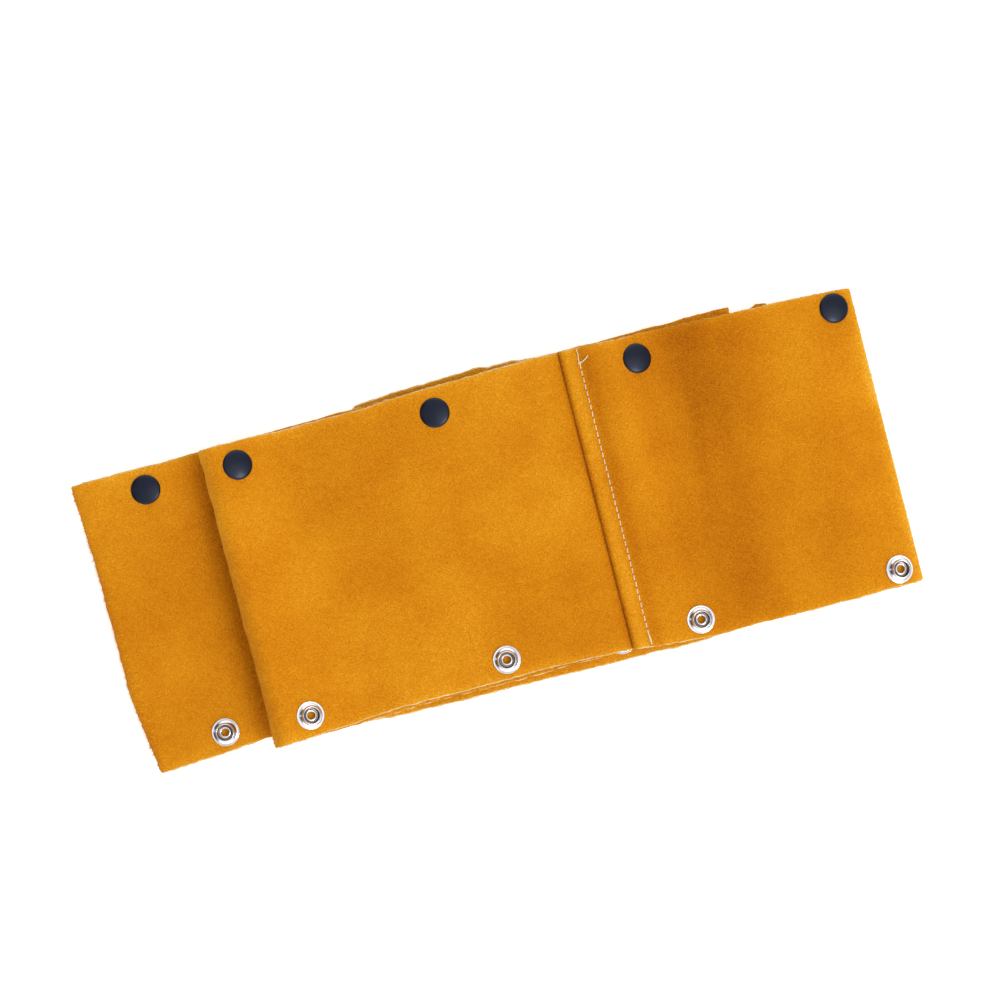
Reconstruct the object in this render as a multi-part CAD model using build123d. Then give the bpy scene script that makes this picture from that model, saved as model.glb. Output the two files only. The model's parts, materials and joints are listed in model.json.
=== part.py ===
from build123d import *
import math
import os

# A snap-closing split-leather cover for a welding cable or hose, folded up for storage.
# In use the strip is rolled round the cable and each cap on one long edge snaps on the stud
# opposite it. Here the strip lies zigzag in five panels: panel 1 at the bottom, panel 5 on top,
# turning over at fold 1 (right end), fold 2 (left end), fold 3 (right end) and fold 4 (left end).
# Millimetres. X runs along the strip, Y across it towards the caps, Z up from the table.

# Leather
LEATHER = 1.3
SEAM_ALLOWANCE = 12.0
TOPSTITCH_FROM_SEAM = 8.8

# Snap fasteners, line 24 size
CAP_RADIUS = 7.5
CAP_HEIGHT = 2.0
POST_RADIUS = 2.3
SOCKET_RADIUS = 6.25
SOCKET_HEIGHT = 3.8
SHEET_METAL = 0.4
STUD_FLANGE_RADIUS = 7.0
STUD_HEIGHT = 4.0
NIPPLE_RADIUS = 4.4
EYELET_FLANGE_RADIUS = 5.8
EYELET_FLANGE = 0.8
EYELET_BARREL_RADIUS = 2.2
EYELET_HOLE_RADIUS = 1.65
SPRING_WIRE_RADIUS = 0.35
SNAP_CLEARANCE = 0.05

# Sewing thread
THREAD_WIDTH = 0.65
THREAD_HEIGHT = 0.35
THREAD_INSET = 1.0

# Space under each panel: room for the studs where faces meet, for the sockets where backs meet, and
# between panels 4 and 5 for a socket under the seam.
SPACE_UNDER = {1: SOCKET_HEIGHT, 2: 4.2, 3: 4.0, 4: 4.2, 5: 5.4}
FACES_UP = {1: True, 2: False, 3: True, 4: False, 5: True}

# Folds: side is +1 at the right end and -1 at the left, outer_x is the bend's outermost line at
# the strip's centre, lean turns that line in the plane, and low_y and high_y are its two ends.
FOLDS = {
    1: {"side": 1, "outer_x": 275.2, "lean": 0.0, "low_y": -71.5, "high_y": 81.6},
    2: {"side": -1, "outer_x": -64.1, "lean": 2.8, "low_y": -75.2, "high_y": 75.4},
    3: {"side": 1, "outer_x": 332.3, "lean": 0.0, "low_y": -75.6, "high_y": 75.0},
    4: {"side": -1, "outer_x": 0.0, "lean": 0.0, "low_y": -76.1, "high_y": 76.1},
}

# Panel 5 comes off the puffed-up fold 4 sloping down, bends level, and droops at its loose end.
# Both slopes are straight where the snaps sit.
SLOPE = 12.0
SLOPE_END_X = 30.0
LEVEL_FROM_X = 54.0
DROOP_FROM_X = 303.0
DROOP_STRAIGHT_X = 315.0
DROOP = 3.5

# The strip's two cut ends: x, low y and high y
FIRST_END = (24.0, -75.0, 76.0)
LAST_END = (334.4, -75.2, 75.5)

# Hand-cut long edges, between a panel's two ends
CAP_EDGE = {
    1: [(78.0, 78.6), (78.6, 80.4), (146.0, 83.6), (150.8, 82.2), (185.0, 80.6)],
    2: [(79.0, 78.1), (145.0, 79.3)],
    3: [(24.5, 76.3), (120.0, 76.0), (240.0, 75.2)],
    4: [
        (80.0, 76.2), (150.0, 78.6), (240.0, 77.4),
        (284.8, 76.8), (285.2, 79.0), (292.5, 78.2), (293.2, 76.0),
    ],
    5: [(78.9, 76.5), (145.0, 79.5), (184.7, 79.8), (272.1, 77.5)],
}
STUD_EDGE = {
    1: [(140.0, -73.0)],
    2: [(100.0, -73.6)],
    3: [(-1.2, -71.1), (63.5, -76.6), (126.8, -77.1), (219.2, -77.8), (240.0, -76.2)],
    4: [(80.0, -73.6), (160.0, -72.8), (240.0, -75.4)],
    5: [(65.1, -72.5), (147.7, -71.4), (184.5, -72.5), (218.6, -75.7)],
}

# Seam valley of the panels that are sewn from two hides, and the slope from the raised seam down
SEAM_X = {1: 151.0, 3: 28.0, 5: 185.5}
SEAM_RAMP = 8.0

# Snap centres, at the line 24 pitch of about 101.6 along the strip
CAPS = {
    1: [(33.7, 65.5), (137.3, 69.5), (238.9, 69.9)],
    2: [(6.7, 65.8), (108.3, 67.5), (209.9, 69.4)],
    3: [(-32.4, 64.8), (73.0, 64.9), (174.6, 64.4), (276.2, 63.8)],
    4: [(87.0, 64.9), (188.6, 66.6), (290.2, 64.2)],
    5: [(16.7, 64.8), (118.3, 65.9), (222.5, 67.3), (323.9, 67.3)],
}
STUDS = {
    1: [(34.2, -65.4), (137.9, -63.4), (239.5, -62.3)],
    2: [(12.0, -64.9), (113.6, -64.0), (211.5, -62.9)],
    3: [(-23.5, -63.4), (79.3, -67.6), (181.0, -66.5), (282.1, -66.3)],
    4: [(91.2, -63.8), (192.9, -63.6), (294.3, -66.0)],
    5: [(21.0, -64.8), (122.8, -62.3), (221.4, -66.7), (323.5, -67.0)],
}

# Room for cutting shapes that reach past the strip
WIDE = 120.0
TALL = 60.0
LEFT_OVERHANG = 15.0
RIGHT_OVERHANG = 15.0


def panel_levels():
    """Height of each panel's lower surface."""
    levels = {}
    below = 0.0
    for panel, space in SPACE_UNDER.items():
        levels[panel] = below + space
        below = levels[panel] + LEATHER
    return levels


LEVEL = panel_levels()


def middle(panel):
    """Height of the middle of a panel's leather where it lies level."""
    return LEVEL[panel] + LEATHER / 2


def arc_radius(run, slope):
    """Radius of an arc that turns by slope over a level run."""
    return run / math.sin(math.radians(slope))


def middle_and_slope(panel, x):
    """Height of the middle of the leather at x, and its downward slope to the right in degrees."""
    if panel != 5 or LEVEL_FROM_X <= x <= DROOP_FROM_X:
        return middle(panel), 0.0
    if x > DROOP_FROM_X:
        radius = arc_radius(DROOP_STRAIGHT_X - DROOP_FROM_X, DROOP)
        slope = math.asin((min(x, DROOP_STRAIGHT_X) - DROOP_FROM_X) / radius)
        straight = max(0.0, x - DROOP_STRAIGHT_X) * math.tan(math.radians(DROOP))
        return middle(panel) - radius * (1 - math.cos(slope)) - straight, math.degrees(slope)
    radius = arc_radius(LEVEL_FROM_X - SLOPE_END_X, SLOPE)
    slope = math.asin((LEVEL_FROM_X - max(x, SLOPE_END_X)) / radius)
    straight = max(0.0, SLOPE_END_X - x) * math.tan(math.radians(SLOPE))
    return middle(panel) + radius * (1 - math.cos(slope)) + straight, math.degrees(slope)


def bend_radius(fold):
    """Radius of the leather's middle surface round a fold."""
    if fold != 4:
        return (SPACE_UNDER[fold + 1] + LEATHER) / 2
    # The half ring turns on by the slope until it meets panel 5's straight run.
    slope = math.radians(SLOPE)
    rise = middle_and_slope(5, SLOPE_END_X)[0] - middle(4)
    rise += (SLOPE_END_X - LEATHER / 2) * math.tan(slope)
    return rise / (1 + math.cos(slope) + (1 + math.sin(slope)) * math.tan(slope))


def tangent_x(fold):
    """Where the lower panel ends and the bend begins, on the strip's centre line."""
    reach = bend_radius(fold) + LEATHER / 2
    return FOLDS[fold]["outer_x"] - FOLDS[fold]["side"] * reach


def bend_points(fold):
    """The bend's middle line in X and Z: its lower end, its outermost point and its upper end."""
    side, radius, x = FOLDS[fold]["side"], bend_radius(fold), tangent_x(fold)
    slope = math.radians(SLOPE if fold == 4 else 0.0)
    low = middle(fold)
    upper = (x - side * radius * math.sin(slope), low + radius * (1 + math.cos(slope)))
    return (x, low), (x + side * radius, low + radius), upper


def bend_length(fold):
    """Length of the bend's middle line."""
    turn = math.radians(180.0 + (SLOPE if fold == 4 else 0.0))
    return bend_radius(fold) * turn


def on_fold_line(fold, y):
    """The point of a fold's tangent line at a given y."""
    return (tangent_x(fold) - y * math.tan(math.radians(FOLDS[fold]["lean"])), y)


def panel_end(panel, side):
    """Low and high corner of a panel's left (-1) or right (+1) end."""
    for fold in (panel - 1, panel):
        if fold in FOLDS and FOLDS[fold]["side"] == side:
            return on_fold_line(fold, FOLDS[fold]["low_y"]), on_fold_line(fold, FOLDS[fold]["high_y"])
    x, low_y, high_y = FIRST_END if side < 0 else LAST_END
    return (x, low_y), (x, high_y)


def long_edges(panel):
    """A panel's stud edge and cap edge, each from left to right."""
    left_low, left_high = panel_end(panel, -1)
    right_low, right_high = panel_end(panel, 1)
    return [left_low, *STUD_EDGE[panel], right_low], [left_high, *CAP_EDGE[panel], right_high]


def height_on_edge(edge, x):
    """The y of a long edge at x."""
    for (x0, y0), (x1, y1) in zip(edge, edge[1:]):
        if x0 <= x <= x1:
            return y0 + (y1 - y0) * (x - x0) / (x1 - x0)
    return edge[-1][1]


def block(x0, x1, y0, y1, z0, z1):
    """A box between corner coordinates given in any order."""
    size = (abs(x1 - x0), abs(y1 - y0), abs(z1 - z0))
    centre = ((x0 + x1) / 2, (y0 + y1) / 2, (z0 + z1) / 2)
    return Pos(*centre) * Box(*size)


def spin(lines):
    """The solid turned from a closed profile in radius and height."""
    return revolve(Plane.XZ * make_face(lines), axis=Axis.Z)


def sheet_along(path, low_y, high_y):
    """Leather whose middle follows a path in X and Z, from low_y to high_y."""
    face = Plane.XZ * trace(path, line_width=LEATHER)
    return Pos(0, high_y, 0) * extrude(face, amount=high_y - low_y)


# ---- Leather ----


def first_path(panel, end_x):
    """The middle line of a panel from its left end to end_x."""
    z = middle(panel)
    if panel != 5:
        return Line((panel_end(panel, -1)[0][0] - LEFT_OVERHANG, z), (end_x, z))
    start = bend_points(4)[2]
    slope_end = (SLOPE_END_X, middle_and_slope(5, SLOPE_END_X)[0])
    straight = Line(start, slope_end)
    easing = TangentArc(slope_end, (LEVEL_FROM_X, z), tangent=straight % 1)
    return straight + easing + Line((LEVEL_FROM_X, z), (end_x, z))


def second_path(panel):
    """The middle line of a panel from its seam to its right end: raised over the allowances first."""
    z = middle(panel)
    band_end = SEAM_X[panel] + SEAM_ALLOWANCE
    half_way = (band_end + SEAM_RAMP / 2, z + LEATHER / 2)
    foot = (band_end + SEAM_RAMP, z)
    band = Line((SEAM_X[panel], z + LEATHER), (band_end, z + LEATHER))
    shoulder = TangentArc(band @ 1, half_way, tangent=(1, 0))
    ease = TangentArc(half_way, foot, tangent=shoulder % 1)
    path = band + shoulder + ease
    if panel != 5:
        return path + Line(foot, (panel_end(panel, 1)[0][0] + RIGHT_OVERHANG, z))
    level = Line(foot, (DROOP_FROM_X, z))
    arc_end = (DROOP_STRAIGHT_X, middle_and_slope(5, DROOP_STRAIGHT_X)[0])
    end_x = LAST_END[0] + RIGHT_OVERHANG
    droop = TangentArc(level @ 1, arc_end, tangent=(1, 0))
    return path + level + droop + Line(arc_end, (end_x, middle_and_slope(5, end_x)[0]))


def outline_prism(panel):
    """Everything above and below a panel's outline."""
    stud_edge, cap_edge = long_edges(panel)
    return extrude(make_face(Polyline(*stud_edge, *reversed(cap_edge), close=True)), amount=TALL)


def punched(leather, panel):
    """A panel's leather with its snap holes."""
    for centres, radius in ((CAPS[panel], POST_RADIUS), (STUDS[panel], EYELET_BARREL_RADIUS)):
        for x, y in centres:
            z, slope = middle_and_slope(panel, x)
            tool = Cylinder(radius + SNAP_CLEARANCE, 4 * LEATHER)
            leather -= Pos(x, y, z) * Rot(0, slope, 0) * tool
    return leather


def plain_hide(panel):
    """A panel cut from one hide."""
    path = first_path(panel, panel_end(panel, 1)[0][0] + RIGHT_OVERHANG)
    return punched(sheet_along(path, -WIDE, WIDE) & outline_prism(panel), panel)


def sewn_hides(panel):
    """The two hides of a seamed panel: both allowances are turned under the second hide."""
    stud_edge, cap_edge = long_edges(panel)
    seam = SEAM_X[panel]
    low = height_on_edge(stud_edge, seam)
    high = height_on_edge(cap_edge, seam)
    under, over = LEVEL[panel] - LEATHER, LEVEL[panel] + LEATHER
    first = sheet_along(first_path(panel, seam), -WIDE, WIDE) & outline_prism(panel)
    first += block(seam - LEATHER, seam, low, high, under, over)
    first += block(seam - LEATHER, seam + SEAM_ALLOWANCE, low, high, under, LEVEL[panel])
    second = sheet_along(second_path(panel), -WIDE, WIDE) & outline_prism(panel)
    second += block(seam, seam + SEAM_ALLOWANCE, low, high, LEVEL[panel], over)
    return punched(first, panel), punched(second, panel)


def fold_bend(fold):
    """The leather that turns over at a fold and joins two panels."""
    low_y, high_y = FOLDS[fold]["low_y"], FOLDS[fold]["high_y"]
    lean = FOLDS[fold]["lean"]
    path = ThreePointArc(*bend_points(fold))
    line_scale = 1 / math.cos(math.radians(lean))
    bend = sheet_along(path, low_y * line_scale, high_y * line_scale)
    pivot = tangent_x(fold)
    return Pos(pivot, 0, 0) * Rot(0, 0, lean) * Pos(-pivot, 0, 0) * bend


# ---- Sewing thread ----


def thread_run(panel, x0, x1, z0, z1):
    """One sewing thread's line across a seam, stopping a little inside the leather's edges."""
    stud_edge, cap_edge = long_edges(panel)
    low = height_on_edge(stud_edge, SEAM_X[panel]) + THREAD_INSET
    high = height_on_edge(cap_edge, SEAM_X[panel]) - THREAD_INSET
    return [block(x0, x1, low, high, z0, z1)]


def topstitch(panel):
    """The thread seen on the face, which holds both allowances down."""
    x = SEAM_X[panel] + TOPSTITCH_FROM_SEAM
    face = LEVEL[panel] + 2 * LEATHER
    return thread_run(panel, x - THREAD_WIDTH / 2, x + THREAD_WIDTH / 2, face, face + THREAD_HEIGHT)


def closing_stitch(panel):
    """The hidden thread that joins the two hides, on the back of the turned seam."""
    x = SEAM_X[panel] - LEATHER
    z = LEVEL[panel] - LEATHER / 2
    return thread_run(panel, x - THREAD_HEIGHT, x, z - THREAD_WIDTH / 2, z + THREAD_WIDTH / 2)


# ---- Snap pieces, turned about Z, with the leather's face at z = 0 and its back below ----


def cap():
    """Domed cap with a rolled rim and a hollow post flared over inside the socket."""
    back = -LEATHER - SHEET_METAL - SNAP_CLEARANCE
    flare_radius = POST_RADIUS + 0.9
    bore = POST_RADIUS - 0.6
    dome = ThreePointArc((0, CAP_HEIGHT), (4.0, 1.72), (6.9, 0.85))
    rim = ThreePointArc((6.9, 0.85), (CAP_RADIUS, 0.42), (7.25, 0.03))
    inside = Polyline(
        (7.25, 0.03), (6.3, 0.03), (6.0, 0.5), (POST_RADIUS, 0.9), (POST_RADIUS, back),
        (flare_radius, back), (flare_radius, back - 0.3), (bore, back - 0.45),
        (bore, 1.2), (0, 1.4), (0, CAP_HEIGHT),
    )
    return spin(dome + rim + inside)


def socket():
    """Cup behind the cap: a base on the leather, a round wall and a lip rolled in at the mouth."""
    base = -LEATHER
    mouth = base - SOCKET_HEIGHT
    wall = SOCKET_RADIUS - SHEET_METAL
    outside = Polyline(
        (POST_RADIUS + SNAP_CLEARANCE, base), (SOCKET_RADIUS, base), (SOCKET_RADIUS, mouth + 0.6),
    )
    lip = ThreePointArc(
        (SOCKET_RADIUS, mouth + 0.6), (SOCKET_RADIUS - 0.18, mouth + 0.18), (SOCKET_RADIUS - 0.6, mouth),
    )
    inside = Polyline(
        (SOCKET_RADIUS - 0.6, mouth), (4.65, mouth), (4.65, mouth + SHEET_METAL),
        (wall, mouth + SHEET_METAL + 0.2), (wall, base - SHEET_METAL),
        (POST_RADIUS + SNAP_CLEARANCE, base - SHEET_METAL), (POST_RADIUS + SNAP_CLEARANCE, base),
    )
    return spin(outside + lip + inside)


def socket_spring():
    """Split wire ring held in the socket, which grips the stud's nipple."""
    ring_radius = 5.05
    split_width = 1.2
    z = -LEATHER - SOCKET_HEIGHT + SHEET_METAL + SPRING_WIRE_RADIUS + 0.25
    ring = Pos(0, 0, z) * Torus(ring_radius, SPRING_WIRE_RADIUS)
    return ring - Pos(ring_radius, 0, z) * Box(2, split_width, 2)


def stud():
    """Stud on the leather's face: a flange, a necked nipple and a floor pierced for the eyelet."""
    hole = EYELET_BARREL_RADIUS + SNAP_CLEARANCE
    floor = 0.9
    flange = Polyline((hole, 0), (STUD_FLANGE_RADIUS - 0.15, 0))
    edge = ThreePointArc(
        (STUD_FLANGE_RADIUS - 0.15, 0), (STUD_FLANGE_RADIUS, 0.24), (STUD_FLANGE_RADIUS - 0.3, 0.5),
    )
    neck = Polyline(
        (STUD_FLANGE_RADIUS - 0.3, 0.5), (5.0, 0.95), (4.05, 1.3), (4.0, 1.9), (NIPPLE_RADIUS, 2.4),
    )
    land = Polyline((NIPPLE_RADIUS, 2.4), (NIPPLE_RADIUS, 3.3))
    crown = ThreePointArc((NIPPLE_RADIUS, 3.3), (4.2, STUD_HEIGHT - 0.15), (3.8, STUD_HEIGHT))
    inside = Polyline(
        (3.8, STUD_HEIGHT), (3.5, STUD_HEIGHT - 0.3), (3.4, floor + 0.1), (hole, floor), (hole, 0),
    )
    return spin(flange + edge + neck + land + crown + inside)


def eyelet():
    """Eyelet from the leather's back, its open barrel rolled over on the stud's floor."""
    back = -LEATHER - EYELET_FLANGE
    roll_foot = 0.98
    flat_radius = EYELET_FLANGE_RADIUS - 1.6
    flange = ThreePointArc(
        (EYELET_FLANGE_RADIUS, -LEATHER), (EYELET_FLANGE_RADIUS - 0.35, back + 0.25), (flat_radius, back),
    )
    mouth = Polyline(
        (flat_radius, back), (EYELET_HOLE_RADIUS + 0.6, back), (EYELET_HOLE_RADIUS, back + 0.5),
    )
    bore = Polyline((EYELET_HOLE_RADIUS, back + 0.5), (EYELET_HOLE_RADIUS, roll_foot + 0.45))
    roll = ThreePointArc(
        (EYELET_HOLE_RADIUS, roll_foot + 0.45), (2.2, roll_foot + 0.75), (2.75, roll_foot + 0.3),
    )
    barrel = Polyline(
        (2.75, roll_foot + 0.3), (2.75, roll_foot), (EYELET_BARREL_RADIUS, roll_foot),
        (EYELET_BARREL_RADIUS, -LEATHER), (EYELET_FLANGE_RADIUS, -LEATHER),
    )
    return spin(flange + mouth + bore + roll + barrel)


def set_in_leather(piece, panel, centres):
    """Copies of a snap piece at each centre, square to the leather, turned over on a face-down panel."""
    placed = []
    for x, y in centres:
        z, slope = middle_and_slope(panel, x)
        turn = slope if FACES_UP[panel] else 180.0
        placed.append(Pos(x, y, z) * Rot(0, turn, 0) * Pos(0, 0, LEATHER / 2) * piece)
    return placed


# ---- The assembly ----


def leather_nodes():
    nodes = {}
    for panel in LEVEL:
        if panel in SEAM_X:
            first, second = sewn_hides(panel)
            nodes[f"panel_{panel}_left_hide"] = [first]
            nodes[f"panel_{panel}_right_hide"] = [second]
            nodes[f"panel_{panel}_topstitch"] = topstitch(panel)
            nodes[f"panel_{panel}_closing_stitch"] = closing_stitch(panel)
        else:
            nodes[f"panel_{panel}_hide"] = [plain_hide(panel)]
    for fold in FOLDS:
        nodes[f"fold_{fold}_bend"] = [fold_bend(fold)]
    return nodes


def snap_nodes():
    nodes = {}
    pieces = {
        "caps": (cap(), CAPS),
        "sockets": (socket(), CAPS),
        "socket_springs": (socket_spring(), CAPS),
        "studs": (stud(), STUDS),
        "eyelets": (eyelet(), STUDS),
    }
    for panel in LEVEL:
        for name, (piece, centres) in pieces.items():
            nodes[f"panel_{panel}_{name}"] = set_in_leather(piece, panel, centres[panel])
    return nodes


def print_folds(shift):
    """Each fold's hinge line, in metres in the finished frame: a point and a direction."""
    for fold, shape in FOLDS.items():
        lean = math.radians(shape["lean"])
        lower, _, upper = bend_points(fold)
        # Turned half round this line, the upper end of the bend comes to where the opened leather ends.
        opened_x = lower[0] + shape["side"] * bend_length(fold)
        stand_off = (upper[0] + opened_x) / 2 - lower[0]
        place = (
            lower[0] + stand_off * math.cos(lean),
            stand_off * math.sin(lean),
            (upper[1] + lower[1]) / 2,
        )
        point = [round((a + b) / 1000, 6) for a, b in zip(place, shift)]
        direction = [round(part * shape["side"], 6) for part in (-math.sin(lean), math.cos(lean), 0.0)]
        print("fold", fold, "point", point, "axis", direction, "radius", round(bend_radius(fold), 3))


def main():
    nodes = {**leather_nodes(), **snap_nodes()}
    box = Compound(children=[Compound(children=list(solids)) for solids in nodes.values()]).bounding_box()
    shift = (-(box.min.X + box.max.X) / 2, -(box.min.Y + box.max.Y) / 2, -box.min.Z)
    os.makedirs("parts", exist_ok=True)
    for name, solids in nodes.items():
        placed = [Pos(*shift) * solid for solid in solids]
        export_step(Compound(children=placed), f"parts/{name}.step")
    print("box", box.size, "shift", [round(v, 4) for v in shift])
    print_folds(shift)


main()
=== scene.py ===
import json
import math

import bmesh
import bpy
import numpy as np
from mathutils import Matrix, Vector


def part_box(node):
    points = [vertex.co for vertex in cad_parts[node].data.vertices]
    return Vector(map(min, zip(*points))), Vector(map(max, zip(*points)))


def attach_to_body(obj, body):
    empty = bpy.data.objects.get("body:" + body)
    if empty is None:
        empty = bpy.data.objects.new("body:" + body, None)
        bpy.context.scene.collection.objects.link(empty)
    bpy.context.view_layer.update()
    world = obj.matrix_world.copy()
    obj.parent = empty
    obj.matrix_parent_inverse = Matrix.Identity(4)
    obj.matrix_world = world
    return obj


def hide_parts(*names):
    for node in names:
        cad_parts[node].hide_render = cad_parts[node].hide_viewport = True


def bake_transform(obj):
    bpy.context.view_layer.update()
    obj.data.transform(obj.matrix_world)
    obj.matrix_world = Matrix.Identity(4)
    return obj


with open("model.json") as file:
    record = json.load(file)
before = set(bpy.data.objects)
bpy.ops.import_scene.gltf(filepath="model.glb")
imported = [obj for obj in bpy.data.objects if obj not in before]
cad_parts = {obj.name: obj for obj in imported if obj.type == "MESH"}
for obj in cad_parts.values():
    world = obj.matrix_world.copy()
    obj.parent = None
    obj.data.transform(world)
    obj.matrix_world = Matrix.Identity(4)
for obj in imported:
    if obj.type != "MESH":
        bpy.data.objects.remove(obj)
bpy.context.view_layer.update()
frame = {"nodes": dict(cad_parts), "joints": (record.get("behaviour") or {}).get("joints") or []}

# A snap-closing cover of golden split leather for a welding cable, folded zigzag in five panels.
# Shapes are worked out in millimetres and become metres where a mesh, light or camera is made.
MM = 0.001

# The leather is drawn a little thinner than the CAD's 1.3 mm, so that sewn layers don't touch.
LEATHER = 1.3
HALF = 0.6

# Spacing of the leather's points along the top panel, along the hidden ones and across the strip
TOP_STEP = 1.25
HIDDEN_STEP = 2.4
ACROSS_STEP = 1.3

# How much of each panel beside a fold belongs to the fold's piece
FOLD_LAP = 3.0

# The knife leans, so a cut edge's face side stops short of its back: how far in and how far out
CUT_SLANT = (0.15, 0.35)
# How far the right end's corners and fold 2's corner at the cap side are rounded off
CORNER = {-1: 0.9, 1: 0.4}
FOLD_2_CORNER = 1.2

# Seams: allowances turned under the right hide, the stitch line and the ramp down from the raised band
ALLOWANCE = 12.0
TURN = 0.65
RAMP = 8.0
STITCH_FROM_SEAM = 8.8
STITCH_PITCH = 3.5
KNOT_FROM_EDGE = 6.6
THREAD_RADIUS = 0.28
TWISTS_PER_MM = 0.42

# Panel 5 leaves fold 4 sloping down, lies level and droops at its loose end.
SLOPE = math.radians(12.0)
SLOPE_END = 30.0
LEVEL_FROM = 54.0
DROOP_FROM = 31.4
DROOP_STRAIGHT = 19.4
DROOP = math.radians(3.5)

# Snaps stand further apart than SNAP_GAP, and none reaches SNAP_REACH from its middle
SNAP_GAP = 30
SNAP_REACH = 5

PANELS = (1, 2, 3, 4, 5)
FACE_UP = {1: True, 2: False, 3: True, 4: False, 5: True}


# ---- Reading the frame ----


def node_points(node):
    """A CAD node's vertices in millimetres."""
    mesh = frame["nodes"][node].data
    points = np.empty(len(mesh.vertices) * 3)
    mesh.vertices.foreach_get("co", points)
    return points.reshape(-1, 3) / MM


def box_mm(node):
    """Lowest and highest corner of a CAD node in millimetres."""
    low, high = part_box(node)
    return np.array(low) / MM, np.array(high) / MM


def snap_centres(node):
    """The middle of each snap piece in a node, from left to right."""
    points = node_points(node)
    points = points[np.argsort(points[:, 0])]
    groups = np.split(points, np.where(np.diff(points[:, 0]) > SNAP_GAP)[0] + 1)
    return [(group.min(0) + group.max(0)) / 2 for group in groups]


def hides(panel):
    """The CAD nodes of a panel's leather."""
    if panel in (1, 3, 5):
        return [f"panel_{panel}_left_hide", f"panel_{panel}_right_hide"]
    return [f"panel_{panel}_hide"]


CAPS = {panel: snap_centres(f"panel_{panel}_caps") for panel in PANELS}
STUDS = {panel: snap_centres(f"panel_{panel}_studs") for panel in PANELS}
SEAM = {panel: box_mm(f"panel_{panel}_right_hide")[0][0] for panel in (1, 3, 5)}


def snaps_of(panel):
    """The middles of all the snaps on a panel."""
    return CAPS[panel] + STUDS[panel]


def middle_height(panel):
    """Height of the middle of a panel's leather where it lies level."""
    under = box_mm(hides(panel)[0])[0][2]
    return under + LEATHER * (1.5 if panel in SEAM else 0.5)


MIDDLE = {panel: middle_height(panel) for panel in PANELS}


def long_edge(panel, side):
    """The x and y of a panel's long edge: side -1 along the studs, +1 along the caps."""
    points = np.vstack([node_points(node) for node in hides(panel)])
    for centre in snaps_of(panel):
        points = points[np.hypot(*(points - centre)[:, :2].T) > SNAP_REACH]
    points = points[side * points[:, 1] > 60]
    columns = {}
    for x, y, _ in points:
        key = round(float(x), 1)
        columns[key] = max(columns.get(key, 0.0), side * float(y))
    xs = np.array(sorted(columns))
    return xs, side * np.array([columns[x] for x in xs])


EDGES = {(panel, side): long_edge(panel, side) for panel in PANELS for side in (-1, 1)}

# A little more of panel 3's third stud shows than in the CAD model
STUDS[3][2] = np.asarray(STUDS[3][2]) + np.array([0, -1.3, 0])


def fold_shape(fold):
    """A fold's side, bend radius and tangent line, read from its joint and its CAD bend."""
    low, high = box_mm(f"fold_{fold}_bend")
    joint = frame["joints"][fold - 1]
    axis = joint["axis"]
    side = 1 if axis[1] > 0 else -1
    radius = (high[2] - low[2] - LEATHER) / 2
    return {
        "side": side,
        "radius": radius,
        "x": joint["pos_m"][0] / MM - side * radius * math.pi / 2,
        "y": joint["pos_m"][1] / MM,
        "lean": axis[0] / axis[1],
        "outer": high[0] if side > 0 else low[0],
    }


FOLDS = {fold: fold_shape(fold) for fold in (1, 2, 3, 4)}
LEFT_END = box_mm("panel_1_left_hide")[0][0]
RIGHT_END = box_mm("panel_5_right_hide")[1][0]
SEAM_5_CAP = CAPS[5][2]


# ---- Smooth random fields and small helpers ----


def field(x, y, cell, seed):
    """Smooth seeded values from -1 to 1 over the plane, with bumps about one cell wide."""
    size = 128
    table = np.random.default_rng(seed).uniform(-1, 1, (size, size))
    gx, gy = np.asarray(x, float) / cell, np.asarray(y, float) / cell
    ix, iy = np.floor(gx).astype(int), np.floor(gy).astype(int)
    fx, fy = gx - ix, gy - iy
    fx, fy = fx * fx * (3 - 2 * fx), fy * fy * (3 - 2 * fy)
    corners = [table[(ix + i) % size, (iy + j) % size] for i in (0, 1) for j in (0, 1)]
    left = corners[0] * (1 - fy) + corners[1] * fy
    right = corners[2] * (1 - fy) + corners[3] * fy
    return left * (1 - fx) + right * fx


def waver(along, cell, seed):
    """Smooth seeded values from -1 to 1 along a line."""
    return field(along, 0 * along, cell, seed)


def unit(vectors):
    return vectors / np.linalg.norm(vectors, axis=-1, keepdims=True)


def running_length(points):
    """How far along a line of points each one is."""
    return np.concatenate([[0], np.cumsum(np.linalg.norm(np.diff(points, axis=0), axis=1))])


def hump(x, centre, width):
    """1 at the centre, falling smoothly away on both sides."""
    return np.exp(-(((x - centre) / width) ** 2))


def fade(distance, reach):
    """1 up to zero distance, dying away beyond it."""
    return np.exp(-np.maximum(distance, 0) / reach)


def ease(t):
    """A smooth rise from 0 to 1."""
    t = np.clip(t, 0, 1)
    return t * t * (3 - 2 * t)


def toward_caps(y):
    """0 at the strip's stud side, rising smoothly to 1 at its cap side."""
    return ease((y + 60) / 120)


# ---- How each panel's leather lies, away from flat ----


def held(panel, x, y):
    """1 at the snaps that hold this panel's height, or that stand under it, and 0 away from them."""
    centres = snaps_of(panel)
    if panel > 1:
        centres = centres + snaps_of(panel - 1)
    reach = 21
    total = np.zeros_like(x)
    for centre in centres:
        total = np.maximum(total, hump(np.hypot(x - centre[0], y - centre[1]), 0, reach))
    return total


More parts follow.
